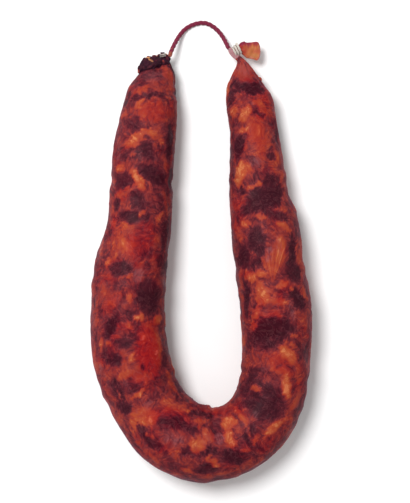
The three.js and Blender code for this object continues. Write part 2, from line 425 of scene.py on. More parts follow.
def makeCasing(name, stops, ragged, gloss, bump, paleColour, haziest=0.5, veining=0.12):
    material, tree, shader, vector = newMaterial(name)
    tone = readMark(tree, "tone")
    pale = readMark(tree, "pale")
    fibre = readMark(tree, "fibre")
    meat = placeGroup(tree, marbling, Vector=vector, Tone=tone, Fibre=fibre, Fan=readMark(tree, "fan"),
                      Calm=readMark(tree, "calm"), Ragged=ragged)
    surface = placeGroup(tree, casingSurface, Vector=vector, Height=meat.outputs["Height"], Gloss=gloss)
    colour = colourRamp(tree, meat.outputs["Tone"], stops)
    # paprika that has gone deeper in places turns the orange towards crimson
    crimson = smoothMask(tree, noiseNode(tree, vector, 48, 3, 0.6, 0.8), 0.46, 0.66)
    crimson = mathNode(tree, "MAXIMUM", mathNode(tree, "MULTIPLY", crimson, 0.7), readMark(tree, "red"))
    colour = mixColour(tree, crimson, colour, rgb(242, 134, 190), "MULTIPLY")
    veins = mathNode(tree, "MULTIPLY", meat.outputs["Vein"], veining)
    # the haze, in part a painted sheen, follows the fibres under it, and thick haze covers them
    hazeAndSheen = mathNode(tree, "MULTIPLY", pale, smoothMask(tree, meat.outputs["Fibres"], 0.36, 0.6))
    hazeAndSheen = mathNode(tree, "MAXIMUM", hazeAndSheen, mathNode(tree, "SUBTRACT", pale, 0.6))
    hazeAndSheen = mathNode(tree, "MINIMUM", mathNode(tree, "MULTIPLY_ADD", hazeAndSheen, haziest, veins), 0.95)
    colour = mixColour(tree, hazeAndSheen, colour, paleColour)
    # where it is thickest, on the right neck, the bare casing shows
    bare = mathNode(tree, "MULTIPLY", smoothMask(tree, pale, 1.0, 1.3), 0.85)
    wire(tree, mixColour(tree, bare, colour, rgb(172, 130, 134)), shader.inputs["Base Color"])
    wire(tree, surface.outputs["Roughness"], shader.inputs["Roughness"])
    bumpNormal(tree, shader, surface.outputs["Height"], bump, 0.0004)
    shader.inputs["Specular IOR Level"].default_value = 0.025
    shader.inputs["Subsurface Weight"].default_value = 0.08
    shader.inputs["Subsurface Radius"].default_value = (1.0, 0.3, 0.2)
    shader.inputs["Subsurface Scale"].default_value = 0.0015
    shader.inputs["Coat Weight"].default_value = 0.012
    shader.inputs["Coat Roughness"].default_value = 0.3
    shader.inputs["Sheen Weight"].default_value = 0.08
    shader.inputs["Sheen Roughness"].default_value = 0.3
    shader.inputs["Sheen Tint"].default_value = rgb(190, 110, 200)
    return material


def makeThread(name, dark, light, stainColour, roughness=0.85):
    material, tree, shader, vector = newMaterial(name)
    fibres = placeGroup(tree, threadFibres, Vector=vector, Along=readMark(tree, "along"),
                        Around=readMark(tree, "around"))
    colour = mixColour(tree, fibres.outputs["Mask"], dark, light)
    colour = mixColour(tree, readMark(tree, "stain"), colour, stainColour)
    wire(tree, colour, shader.inputs["Base Color"])
    shader.inputs["Roughness"].default_value = roughness
    shader.inputs["Specular IOR Level"].default_value = 0.15
    shader.inputs["Sheen Weight"].default_value = 0.06
    bumpNormal(tree, shader, fibres.outputs["Height"], 0.5, 0.00012)
    return material


# its pale colour is that of sinew and haze, and also of the sheen painted on some pale chunks
bodyCasing = makeCasing("marbledCasing", meatStops, 1.0, 0.5, 0.3, rgb(150, 90, 94))
# dried almost black, turning red where the tone rises: on the listed reddish lumps, and on the crests between the
# creases, where the red is painted light
driedStops = [
    (0.02, rgb(44, 20, 32)),
    (0.30, rgb(58, 26, 38)),
    (0.55, rgb(84, 32, 42)),
    (0.80, rgb(128, 50, 48)),
    (1.00, rgb(158, 72, 56)),
]
driedCasing = makeCasing("driedCasing", driedStops, 0.4, 0.62, 0.5, rgb(216, 152, 102), 0.95, 0.02)
tailStops = [
    (0.05, rgb(124, 38, 62)),
    (0.28, rgb(148, 58, 58)),
    (0.50, rgb(166, 80, 56)),
    (0.72, rgb(176, 104, 64)),
    (1.00, rgb(182, 126, 78)),
]
tailCasing = makeCasing("tailCasing", tailStops, 0.14, 0.5, 0.4, rgb(196, 120, 122), 0.95)
crimsonThread = makeThread("crimsonThread", rgb(106, 26, 50), rgb(132, 42, 68), rgb(168, 96, 70))
# the twine's grey-purple dark colour is its painted shade and its cream light colour its painted highlight, mixed by
# the fibre streaks
naturalThread = makeThread("naturalThread", rgb(158, 142, 150), rgb(236, 230, 208), rgb(112, 96, 94))
print("materials made")


# String: three plies twisted together, from the left neck over the floor to the right twine

stringSetup = {
    "diameter": 2.3,
    "plies": 3,
    "plyRadius": 0.64,
    "twistPitch": 7.5,
    "route": [
        (-16.3, 102.7, 9.2), (-15.2, 105.8, 8.7), (-13.5, 109.8, 6.7), (-11.4, 113.9, 3.9), (-8.8, 117.4, 1.9),
        (-5.5, 119.7, 1.25), (-1.5, 121.0, 1.2), (2.2, 121.0, 1.2), (5.5, 119.5, 1.25), (8.4, 117.0, 1.7),
        (10.8, 113.7, 3.1), (12.5, 110.2, 5.4), (13.8, 107.0, 7.6),
    ],
}


def joinSkins(name, skins):
    # one piece of several skins, with their marks kept
    bm = bmesh.new()
    for skin in skins:
        bm.from_mesh(skin.data)
        mesh = skin.data
        bpy.data.objects.remove(skin)
        bpy.data.meshes.remove(mesh)
    mesh = bpy.data.meshes.new(name)
    bm.to_mesh(mesh)
    bm.free()
    piece = bpy.data.objects.new(name, mesh)
    scene.collection.objects.link(piece)
    return piece


def makePlies(name, line, reference, plies, plyRadius, plyOffset, pitch, sides, stain, floorHeight=None):
    # strands that turn round a middle line, each a closed skin of its own
    lengths = np.r_[0, np.cumsum(np.linalg.norm(np.diff(line, axis=0), axis=1))]
    ahead, side, up = frameAlong(line, reference)
    skins = []
    for ply in range(plies):
        turn = 2 * math.pi * (lengths / pitch + ply / plies)
        strand = line + plyOffset * (np.cos(turn)[:, None] * side + np.sin(turn)[:, None] * up)
        strandAhead, strandSide, strandUp = frameAlong(strand, reference)

        def place(share, angle):
            at = share * (len(strand) - 1)
            pick = lambda values: np.stack([np.interp(at, np.arange(len(strand)), v) for v in values.T], axis=1)
            radius = plyRadius * roundEnds(share, 0.7 * plyRadius / lengths[-1])
            points = pick(strand) + radius[:, None] * (
                np.cos(angle)[:, None] * pick(strandSide) + np.sin(angle)[:, None] * pick(strandUp))
            if floorHeight is not None:
                points[:, 2] = np.maximum(points[:, 2], floorHeight)
            along = share * lengths[-1]
            return points, {"along": along, "around": angle, "stain": stain(along, lengths[-1])}

        skins.append(wrapSkin(name + "Ply", place, len(strand) - 1, sides))
    return joinSkins(name, skins)


def makeString(setup):
    shares = np.linspace(0, 1, 420)
    line = smoothLine(setup["route"], shares)

    def stain(along, whole):
        return 0.75 * (1 - smoothStep(0.5, 5.5, along + 1.5 * np.sin(along * 2.1)))

    string = makePlies("string_plies", line, (0, 0, 1), setup["plies"], setup["plyRadius"],
                       setup["diameter"] / 2 - setup["plyRadius"], setup["twistPitch"], 14, stain, 0.02)
    finishPiece(string, crimsonThread, "crimson_string", "string")


makeString(stringSetup)


# Sausage: the body's middle line, from the left tip round the bend to the right tip: x, y, half the width

bodySetup = {
    "rings": 611,
    "sides": 150,
    "heightShare": 0.97,
    "settle": 0.55,
    "tipHeight": 9.5,
    "tipBlend": 1.2,
    "lumpDepth": 0.34,
    "chunkRelief": 0.3,
    "pleatDepth": 0.3,
    "line": [
        (-18.0, 101.8, 0.9), (-18.3, 100.2, 2.3), (-18.8, 97.8, 4.0), (-19.7, 94.3, 6.9), (-21.9, 90.2, 10.0),
        (-23.9, 85.4, 12.2), (-25.4, 79.5, 13.2), (-27.0, 67.8, 14.6), (-28.8, 55.6, 15.4), (-29.8, 42.0, 15.4),
        (-30.5, 28.0, 15.8), (-31.4, 15.5, 16.2), (-33.9, 4.0, 17.3), (-35.9, -8.0, 18.2), (-36.7, -21.0, 18.4),
        (-36.7, -35.0, 18.8), (-35.0, -49.0, 19.0), (-31.2, -62.0, 18.6), (-25.5, -73.5, 18.3),
        (-17.6, -83.3, 19.2), (-7.0, -89.8, 19.4), (5.0, -92.1, 18.5), (16.8, -89.4, 17.7), (26.6, -82.2, 17.3),
        (33.2, -71.5, 17.1), (36.4, -59.0, 17.1), (37.5, -45.5, 17.1), (37.7, -32.0, 17.7), (36.5, -18.5, 17.8),
        (34.3, -6.0, 17.1), (32.9, 6.5, 17.5), (31.5, 18.5, 16.8), (29.0, 30.1, 15.1), (28.0, 42.7, 14.1),
        (27.2, 54.9, 13.1), (26.1, 66.5, 12.1), (24.5, 77.1, 12.1), (23.2, 82.0, 11.1), (22.3, 86.0, 9.7),
        (21.7, 89.9, 7.9), (21.2, 93.9, 5.9), (20.7, 97.4, 3.6), (20.0, 99.8, 2.2), (19.1, 101.4, 1.5),
        (17.8, 102.5, 1.3), (16.3, 103.5, 1.15), (15.15, 104.6, 1.0), (14.45, 105.6, 0.85),
        (13.95, 106.4, 0.6),
    ],
}

# Chunks of meat and fat that show on top, broad ones first in each stretch:
# x, y, half length, half width, turn in degrees, tone from -1, dark lean, to 1, bright fat
topChunks = [
    # the left leg, down to its middle
    (-24, 92, 7, 4, 0, -0.35), (-33, 90, 4, 1.8, 50, -0.45), (-15.4, 91.5, 8, 3.2, 100, 0.2),
    (-25, 81.7, 7, 1.8, 5, -0.75), (-36.8, 80.5, 5, 2, 72, -0.7), (-33, 81.5, 2.5, 2, 0, -0.8),
    (-29.5, 86, 5.5, 2.6, 12, 0.5), (-24, 74.5, 11, 5.5, 0, 0.3), (-31.5, 78.3, 3.6, 1.5, 50, 0.85),
    (-29.8, 72, 4.5, 1.3, 115, 0.55), (-17, 80.8, 2.2, 0.8, 0, 0.75), (-38.6, 72.6, 3.2, 1.8, 0, 0.5),
    (-33, 68.5, 6.5, 2.6, -10, -0.45), (-17, 69, 5, 3, -30, 0.15), (-15.5, 59, 10, 2.8, 92, -0.95),
    (-22.5, 61, 5, 2.8, -30, 0.35), (-26, 64.3, 4.2, 2.2, -25, 0.95), (-33, 58.3, 7, 1.8, 5, 0.75),
    (-34, 61, 5.5, 2.4, 32, 0.85), (-33, 53.5, 8, 3, 0, -0.55), (-27, 54.5, 5, 3, -60, -0.75),
    (-34.5, 52.5, 2.5, 1.0, 10, 0.3), (-20.5, 60.5, 1.6, 0.8, -60, 0.6),
    (-39.5, 39.5, 5.5, 4.5, 0, -0.8), (-23.5, 44, 8, 4.5, -20, -0.95), (-40, 45.8, 3.6, 1.6, 5, 0.85),
    (-32, 40, 6.5, 2.6, -58, 1.0), (-29.5, 48.7, 3.2, 0.6, -35, 0.45), (-18, 48.5, 4.5, 1.4, -60, 0.4),
    (-16, 40, 6, 1.6, 90, -0.8), (-42, 28, 4.5, 3, 90, -0.7), (-32, 29.5, 4.5, 5, 0, -0.7),
    (-41, 32.6, 4.5, 1.6, 5, 0.45), (-35, 21, 9, 3.2, 0, -0.9), (-37, 25.4, 3, 0.8, 5, 0.35),
    (-29.8, 23.5, 2, 0.8, 80, 0.4), (-18.5, 29, 7, 1.1, -65, 0.3), (-20.5, 20.5, 4.2, 1.8, 40, 0.55),
    (-26, 9, 6, 6, 0, 0.1), (-37, 10, 9, 7, -70, 0.35), (-38, 16, 5, 1.8, 5, 0.6),
    (-44.5, 18.5, 3, 1.6, -40, 0.5), (-36.5, 7, 4, 2, -40, 0.85), (-45.5, 11, 3, 2, 45, 0.2),
    (-43.5, 8, 1.6, 1, 70, 0.75), (-43.4, 2.5, 1.8, 1, 80, 0.7), (-46.8, -1, 2.8, 1.2, 80, 0.65),
    (-50, 1.5, 2.5, 1.2, 80, 0.45), (-18.3, 11, 8, 2.2, 88, -0.8),
    # the left leg, down to the bend
    (-40, -4, 6.5, 4, 0, -0.8), (-23, -1.5, 3.5, 2, -60, 0.15), (-25.5, -17.5, 9, 7.5, 80, -1.0),
    (-31.5, -8, 4.2, 3.6, 60, 0.0), (-36, -9, 1.6, 0.8, 0, 0.75), (-35.8, -19, 2.8, 1.4, 100, 0.85),
    (-44, -14, 4, 3, 60, -0.3), (-50, -12, 4, 3, 90, 0.1), (-45, -21, 6, 3.8, 35, 0.4),
    (-51.5, -28, 5, 2, 90, 0.35), (-46, -34, 8, 3.2, 60, -1.0), (-53, -21, 3, 1.5, 90, -0.6),
    (-53.5, -38, 3.5, 1.2, 90, -0.6), (-25, -43, 14, 7.5, -78, 0.55), (-30.5, -28.6, 3.2, 1.7, 5, 0.95),
    (-22.5, -30, 3.2, 2.8, 90, 0.9), (-29, -38, 2.6, 1.8, 80, 1.0), (-37.5, -32.5, 3.2, 2, -30, 0.5),
    (-38, -40, 7, 3, 25, -0.5), (-50.5, -43, 4.5, 1.8, 75, 0.55), (-46.3, -42, 2, 1, 0, 0.6),
    (-45.5, -48.5, 7, 3.2, -20, -0.7), (-35, -48, 4.2, 1.2, 60, 0.8), (-29.5, -56.5, 7, 4.5, 0, 0.4),
    (-28.5, -53.5, 1.2, 1.0, 0, -0.6), (-37.5, -57.5, 4.5, 2.6, 30, 0.65), (-47, -58, 4, 1.5, -70, 0.2),
    # the bend
    (-41.5, -66, 8, 3.3, -62, -0.75), (-41.5, -68, 3, 0.8, -60, 0.25), (-32, -66.5, 5, 1.5, 48, 0.95),
    (-20.5, -63, 4.5, 4, 90, -0.25), (-15, -62, 7, 2, -62, 0.45), (-38.5, -74, 4.5, 3, 0, -0.85),
    (-28.5, -79, 7.5, 5, 15, 0.75), (-32.5, -83.5, 3.5, 2.5, -30, 0.7), (-14.5, -74, 10, 3.5, 5, 0.35),
    (-8.5, -75.3, 3, 1.8, -10, 0.75), (-2.5, -76.5, 5, 1.5, 35, -0.8), (-10, -83, 10, 2.6, -8, -0.7),
    (-13, -88, 6, 3, -20, 0.1), (-29, -87, 5.5, 3, -50, -0.85), (-24.5, -92, 5, 3, -10, -0.7),
    (-33.5, -90, 7, 1.5, -58, 0.4), (-24, -100, 4.5, 1.8, -52, 0.55), (-25.8, -88, 2.6, 1.2, 0, 0.45),
    (-14, -97, 4, 2, -50, 0.35), (-7, -97, 4, 3, 0, -0.6), (-14, -102.5, 6, 2, -20, -0.4),
    (2, -103.5, 6, 3.5, 0, -0.8), (-7.5, -105, 4.5, 1.6, -25, 0.6), (2.5, -88, 4, 3, 60, 0.4),
    (-2, -92.5, 4.2, 3.5, 50, 0.8), (0, -80, 4, 1.8, 10, 0.5), (8, -89, 3.5, 3, 90, -0.35),
    (23, -88, 6, 3, 90, -0.8), (13.5, -81.5, 4.6, 3.3, -80, 1.0), (14, -89, 5, 3, -75, 0.95),
    (3.5, -96, 5, 1.4, 15, -0.75), (5.5, -100.5, 4.5, 2.4, -45, 0.8), (16.5, -98.5, 7, 4.2, -25, -1.0),
    (31, -71, 12, 9, -40, -0.9), (24, -60, 9, 4, 90, -0.75), (19, -77.5, 7, 1.4, -48, 0.65),
    (27.3, -65.3, 3.2, 1.8, -10, 0.55), (33, -93.5, 8, 4, 40, -0.05), (35.3, -84, 6.5, 2.4, 42, 0.95),
    (42.5, -79.8, 2.4, 1.3, 70, 0.75), (27.2, -91.3, 3.6, 0.9, 72, 0.5), (22, -95.5, 2.2, 1.3, 10, 0.4),
    (24.5, -85.5, 4.5, 1.0, -62, 0.35), (14, -105.5, 8, 1.8, 10, 0.3), (27.5, -100.5, 6, 1.6, 25, 0.3),
    (47, -70, 5, 2.6, 60, 0.5), (39.5, -54, 8, 3, -42, 0.6), (48, -57, 6, 2.8, -75, 0.3),
    (42.3, -64, 6, 2.1, -78, 1.0),
    # the right leg, up to its middle
    (28, -50, 6.5, 4, 0, 0.1), (42.8, -47, 7, 3.4, -42, 0.95), (36.5, -54.5, 5, 1.8, -42, 0.65),
    (52.5, -47, 5, 2.6, 90, -0.6), (35, -36, 12.5, 7.5, 18, -1.0), (22, -20, 10, 2.6, 88, -0.85),
    (52, -30, 5, 2.4, -60, 0.4), (46, -27, 4, 2, -50, -0.1), (47, -37.5, 3, 0.8, -25, 0.5),
    (44.8, -42.3, 4, 1.1, -20, 0.6), (27, -28.5, 7.5, 1.5, 65, 0.65), (48, -19, 7.5, 4.3, -35, -1.0),
    (39.5, -21.7, 5, 1.5, -12, 0.55), (52, -17, 4, 2, -55, 0.4), (47, -6, 6, 4.5, -60, -0.85),
    (30.5, -16.5, 6, 3.5, -65, 0.75), (31.5, -19.5, 4.5, 2.8, -20, 0.75), (24.8, -8.5, 4.2, 2.8, -20, 1.0),
    (30.3, -7.3, 3.4, 1.8, -10, 0.85), (40.5, -12, 4, 1.6, 15, 0.85), (44.5, -14.3, 2.5, 0.9, -25, 0.7),
    (28, -0.5, 4, 3, 0, -0.6), (21, 0.5, 6, 4.5, 60, -0.95), (27, 10.5, 6.5, 4.6, 70, -1.0),
    (45.6, 3, 9.5, 2.6, 88, -1.0), (30, 4, 7, 2, -86, -0.85), (33.2, -1.5, 6, 2, -66, 0.45),
    (38.4, 3.5, 9, 4, 77, 0.7), (36.2, -6, 4.5, 1.9, 80, 0.7), (49.3, 9, 3.5, 1.4, 88, 0.4),
    # the right leg, up to its tip
    (38, 22, 6.5, 3.2, -15, -0.8), (41, 16.5, 4.8, 1.9, -30, 0.85), (43, 25, 2.6, 1.3, 0, 0.45),
    (22.5, 18.5, 4, 2, -15, 0.5), (19.5, 13.5, 4, 2.8, 90, 0.45), (16.8, 18, 8, 1.8, 92, 0.25),
    (33, 32.5, 10.5, 6.2, 20, -1.0), (24, 25.5, 4.5, 3, 40, -0.95), (28.5, 21.6, 3.8, 1.5, -8, 0.75),
    (36, 40.5, 5.5, 3, 10, -0.8), (19, 35, 4.5, 1.6, 0, -0.8), (26.5, 37.2, 4.2, 1.5, 30, 0.7),
    (19.5, 26.5, 4, 0.6, 60, 0.5), (37, 48, 3.2, 3.5, 90, 0.3), (19.5, 43.5, 7, 3.6, 72, 0.95),
    (24, 46.5, 3, 2, -45, 0.7), (18.5, 57, 7, 3.4, 85, -1.0), (34.5, 52.5, 4, 2.4, -10, -0.8),
    (38.2, 50.5, 4.5, 1.8, -62, 0.45), (34, 60, 5, 3, 80, 0.3), (37, 64, 8, 1.8, -80, -0.55),
    (28.5, 61, 12, 4.5, -82, 0.55), (14.5, 62, 6, 1.4, 90, 0.05), (22.5, 65.7, 3.6, 1.8, -10, 0.75),
    (25, 69.5, 3, 2, 45, 0.6), (21.5, 73, 4.2, 3.2, 60, 0.95), (15.5, 74, 3.2, 2.4, 80, 0.65),
    (31.5, 76, 5, 2.3, -48, 0.75), (27.3, 78, 2.2, 1.2, 0, 0.7), (28, 73.7, 2.5, 1.3, -45, -0.5),
    (14.5, 83, 5.5, 3.5, 75, -0.65), (23, 86.8, 9, 3.8, -12, -1.0), (21, 96, 8.5, 7, 90, 0.3),
    # the last chunk, dark at the right neck just under the twine, is painted shade
    (20, 97, 5, 1.4, 85, 0.6), (18.9, 101.9, 1.6, 0.9, -25, -1.0),
]

# Greyish pink sinew and haze under the casing, and in places a pale sheen painted as colour, as at (-26.5, -72) and
# (-14, -89.5): x, y, half length, half width, turn, strength
sinewAndSheenChunks = [
    (-31.5, -8, 4, 3.4, 60, 0.6), (8, -89, 3.5, 3.2, 90, 0.6), (-14, -89.5, 5, 3.5, -20, 0.45),
    (28, 49, 3.2, 2.2, 0, 0.55), (27.3, -77.5, 2.8, 1.6, 80, 0.45), (45.5, -26, 5, 2, -55, 0.5),
    (-50, -55, 3.5, 2, -70, 0.5), (-26.5, -72, 3, 1.5, 0, 0.35), (1.5, -89, 4, 3, 60, 0.25),
    (-24, 92, 6, 3, 0, 0.3), (-33.5, 90, 4, 1.5, 50, 0.4), (-42, 55, 7, 1.4, 88, 0.35),
    (33.8, 3, 3.5, 1.6, -80, 0.7), (38.5, 8, 5, 1.8, -87, 0.45), (21, 96.5, 6, 4, 90, 0.4),
]
bareNeck = (15.4, 104.2, 4, 3, -50, 1.6)
fibrousChunk = (37.2, 1, 12, 6, 80, 1.0)
fibreRoot = (35.4, -12)
# Where the marbling is smooth: the right tip, the fibrous chunk and the left tip
calmChunks = [(21.2, 95, 8, 7, 90, 0.75), (37.4, 1, 12, 6, 80, 0.6), (-16.5, 93, 6, 3, 100, 0.5)]
# Where the fat is a deep red and not orange
redChunks = [
    (-27, -46, 17, 7, -78, 0.95), (-15, -79, 12, 6, -12, 0.8), (-30, 9, 11, 7, 60, 0.75), (-44, -22, 8, 4, 40, 0.5),
    (-22, 74, 9, 5, 0, 0.5), (40, -53, 9, 4, -42, 0.5), (28.5, 62, 10, 4, -82, 0.45), (29, -24, 6, 3, 60, 0.5),
    (-30, -60, 7, 5, 0, 0.6), (8, -88, 5, 4, 0, 0.5),
]


def paintChunk(field, points, centre, outward, direction, halfLength, halfWidth, value, strength=1):
    along = unit(direction - outward * (direction @ outward))
    across = np.cross(outward, along)
    away = points - centre
    reach = np.sqrt((away @ along / halfLength) ** 2 + (away @ across / halfWidth) ** 2
                    + (away @ outward / (halfLength + halfWidth)) ** 2)
    weight = np.minimum(strength * (1 - smoothStep(0.7, 1.2, reach)), 1)
    # strongest at its heart
    field += weight * (value * (1.1 - 0.25 * np.minimum(reach, 1.2)) - field)


def seenFromAbove(points):
    # where the camera sees each point, on the level of the camera's focus
    x, y = cameraSetup["centre"]
    distance = cameraSetup["lens"] * cameraSetup["pictureHeight"] / cameraSetup["sensor"]
    nearer = 1 + (cameraSetup["focusHeight"] - points[:, 2:]) / distance
    return (points[:, :2] - (x, y)) / nearer + (x, y)


def paintTop(field, points, outward, chunks, strengths=False):
    # chunks listed by their place in plan, painted on the side that faces up
    top = np.flatnonzero(outward[:, 2] > 0.02)
    seen = seenFromAbove(points[top])
    for x, y, halfLength, halfWidth, turn, value in chunks:
        nearest = top[np.argmin((seen[:, 0] - x) ** 2 + (seen[:, 1] - y) ** 2)]
        direction = np.array([math.cos(math.radians(turn)), math.sin(math.radians(turn)), 0])
        paintChunk(field, points, points[nearest], outward[nearest], direction, halfLength, halfWidth,
                   1.0 if strengths else value, value if strengths else 1)


def paintBody(points, outward):
    # the marks are shifted to and fro, so that no chunk is a plain oval
    shifted = noiseShift(noiseShift(points, 0.14, 1.5), 0.5, 0.9, 7.3)
    tone = -0.04 + 0.5 * noiseAt(points, 0.09, 3.1, 4)
    below = np.flatnonzero(outward[:, 2] < 0.1)
    for _ in range(330):
        at = below[random.integers(len(below))]
        direction = random.normal(size=3)
        halfLength = random.uniform(2.2, 8)
        value = random.choice([-1, -0.9, -0.6, 0.1, 0.4, 0.8, 1.0]) + random.uniform(-0.1, 0.1)
        paintChunk(tone, shifted, shifted[at], outward[at], direction, halfLength,
                   halfLength * random.uniform(0.3, 0.75), value)
    paintTop(tone, shifted, outward, topChunks)
    for _ in range(700):
        at = random.integers(len(points))
        direction = random.normal(size=3)
        value = tone[at] + random.choice([-0.5, -0.35, 0.3, 0.45])
        paintChunk(tone, shifted, shifted[at], outward[at], direction, random.uniform(0.9, 3.2),
                   random.uniform(0.35, 0.9), value, 0.7)
    pale = np.zeros(len(points))
    paintTop(pale, shifted, outward, sinewAndSheenChunks, strengths=True)
    paintTop(pale, shifted, outward, [bareNeck])
    fibre = np.zeros(len(points))
    paintTop(fibre, shifted, outward, [fibrousChunk], strengths=True)
    calm = np.zeros(len(points))
    paintTop(calm, shifted, outward, calmChunks)
    red = np.zeros(len(points))
    paintTop(red, shifted, outward, redChunks)
    seen = seenFromAbove(points)
    fan = np.arctan2(seen[:, 0] - fibreRoot[0], seen[:, 1] - fibreRoot[1])
    return {"tone": tone, "pale": pale, "fibre": fibre, "fan": fan, "calm": calm, "red": red}


def bodyPlace(share, angle):
    setup = bodySetup
    line = smoothLine(setup["line"], share)
    step = 0.0005
    ahead = unit((smoothLine(setup["line"], share + step) - smoothLine(setup["line"], share - step))[:, :2])
    outward = np.stack([-ahead[:, 1] * np.cos(angle), ahead[:, 0] * np.cos(angle), np.sin(angle)], axis=1)
    halfWidth = line[:, 2]
    halfHeight = halfWidth * setup["heightShare"]
    low = halfHeight - setup["settle"]
    centreHeight = (low + setup["tipHeight"] + np.hypot(low - setup["tipHeight"], setup["tipBlend"])) / 2
    distance = alongLine(setup["line"], share)
    freed = 1 - np.maximum(0, -np.sin(angle)) ** 4
    relief = np.minimum(1, halfWidth / 10) * freed
    lump = setup["lumpDepth"] * relief * waves(distance, angle, 31, 6)
    lump += 0.07 * relief * waves(distance, angle * 2, 9, 5)
    # pleats that gather towards each tie
    gathered = (1 - smoothStep(4, 12, halfWidth)) * np.minimum(1, halfWidth / 2.5)
    lump += setup["pleatDepth"] * gathered * np.sin(11 * angle + 1.2 * np.sin(distance / 5)) * freed
    centre = np.stack([line[:, 0], line[:, 1], centreHeight], axis=1)
    closing = roundEnds(share, 0.0012)
    reach = np.stack([halfWidth + lump, halfWidth + lump, halfHeight + lump], axis=1) * closing[:, None]
    points = centre + outward * reach
    marks = paintBody(points, outward)
    points += outward * (setup["chunkRelief"] * marks["tone"] * relief * closing)[:, None]
    points[:, 2] = np.maximum(points[:, 2], 0)
    return points, marks


body = wrapSkin("sausage_body", bodyPlace, bodySetup["rings"], bodySetup["sides"])
finishPiece(body, bodyCasing, "casing", "sausage")


# Smaller lengths of casing: x, y, height, half the width, half the depth

gatherSetup = {
    "rings": 90, "sides": 64, "crumple": 0.5, "pleats": 0.25,
    "line": [
        (-16.3, 101.2, 9.7, 0.5, 0.6), (-16.8, 100.7, 10.1, 1.1, 1.4), (-17.8, 99.9, 10.8, 1.9, 2.4),
        (-19.4, 99.1, 11.5, 2.3, 3.0), (-22.0, 99.0, 12.2, 3.1, 3.4), (-25.2, 98.5, 12.3, 4.2, 3.9),
        (-28.2, 96.9, 11.8, 3.8, 3.7), (-30.5, 95.1, 11.0, 2.2, 2.5), (-31.7, 93.7, 10.6, 0.8, 0.9),
    ],
    # four of the knobs close round the neck, and the last is the fold that the string comes out of
    "knobs": [(-26.7, 101.4, 11.3, 1.6), (-23.8, 102.1, 10.9, 1.6), (-29.7, 97.6, 11.3, 1.6),
              (-17.8, 103.3, 9.9, 1.05), (-21.4, 102.8, 10.3, 1.15), (-20.4, 101.7, 9.9, 1.2),
              (-18.6, 101.8, 9.7, 1.15), (-16.75, 101.5, 9.5, 1.45)],
    "voxel": 0.22,
    "creases": 0.4,
    "wrinkles": 0.1,
    "tone": -0.85,
    # x, y, half length, half width, turn, strength
    "reddish": [
        (-23.7, 102.4, 2.0, 1.1, 0, 1.0), (-27.6, 101.4, 0.9, 1.5, 0, 0.8), (-31.6, 94.2, 1.0, 1.6, 0, 1.0),
        (-19.2, 99.1, 1.4, 0.6, -60, 0.9), (-17.2, 101.0, 0.8, 1.6, 20, 0.8), (-28.6, 97.0, 1.6, 0.6, 60, 0.4),
        (-21.4, 103.0, 1.2, 0.8, 0, 0.6), (-22.6, 99.6, 2.2, 0.7, 40, 0.4), (-25.2, 97.2, 2.4, 0.6, 30, 0.4),
        (-25.4, 102.4, 1.8, 1.0, 0, 0.7),
    ],
    "peach": [
        (-26.8, 101.2, 1.9, 0.75, -42, 1.0), (-25.4, 99.9, 1.5, 0.5, -38, 1.0), (-22.6, 102.4, 0.7, 0.4, 0, 0.5),
        (-31.9, 93.9, 0.7, 0.5, 60, 0.5), (-17.6, 103.6, 0.8, 0.6, -50, 1.0),
    ],
}
leftNeckSetup = {
    "rings": 40, "sides": 30, "crumple": 0.05, "pleats": 0.06, "tone": -0.4,
    "line": [
        (-18.6, 100.0, 9.6, 0.8, 0.8), (-19.4, 101.5, 9.9, 0.85, 0.85), (-19.6, 102.9, 10.1, 1.0, 1.0),
        (-19.7, 104.1, 10.3, 1.05, 1.05), (-19.7, 104.8, 10.3, 1.1, 1.05),
    ],
}
# The fold of bare casing between the right neck's end, the string and the twine
tieSetup = {
    "rings": 40, "sides": 32, "crumple": 0.2, "pleats": 0.1, "tone": 0.2, "pale": 1.6,
    "line": [
        (13.8, 106.2, 8.4, 0.5, 0.5), (14.1, 106.3, 8.55, 0.8, 0.85), (14.7, 106.4, 8.9, 0.9, 0.9),
        (15.4, 106.5, 9.4, 0.9, 0.9), (16.2, 106.3, 9.8, 0.6, 0.6),
    ],
}
beadSetup = {
    "rings": 40, "sides": 36, "crumple": 0.08, "pleats": 0, "tone": 0.7,
    "line": [
        (28.3, 89.4, 10.2, 0.9, 0.9), (28.8, 90.4, 10.4, 1.5, 1.4), (29.0, 91.4, 10.5, 1.4, 1.3),
        (28.9, 92.2, 10.5, 0.6, 0.6),
    ],
}


# the marks that only the body has painted
plainMarks = {"fibre": 0.0, "fan": 0.0, "calm": 0.0, "red": 0.0}


def casingPlace(setup):
    def place(share, angle):
        line = smoothLine(setup["line"], share)
        step = 0.002
        ahead = unit((smoothLine(setup["line"], share + step) - smoothLine(setup["line"], share - step))[:, :2])
        outward = np.stack([-ahead[:, 1] * np.cos(angle), ahead[:, 0] * np.cos(angle), np.sin(angle)], axis=1)
        distance = alongLine(setup["line"], share)
        size = np.minimum(1, line[:, 3] / 3)
        fold = setup["crumple"] * size * waves(distance, angle, 7, 4)
        fold += setup["pleats"] * size * (np.abs(np.sin(4.5 * angle + 0.8 * distance)) - 0.6)
        fold += 0.25 * setup["crumple"] * size * waves(distance, 2 * angle, 2.6, 4)
        closing = roundEnds(share, 0.03)[:, None]
        reach = np.stack([line[:, 3] + fold, line[:, 3] + fold, line[:, 4] + fold / 2], axis=1) * closing
        points = line[:, :3] + outward * reach
        # the tone rises on folds that stand out and falls on folds that sink in: painted light and painted shade
        return points, {"tone": setup.get("tone", 0) + 0.5 * fold, "pale": setup.get("pale", 0.0), **plainMarks}

    return place


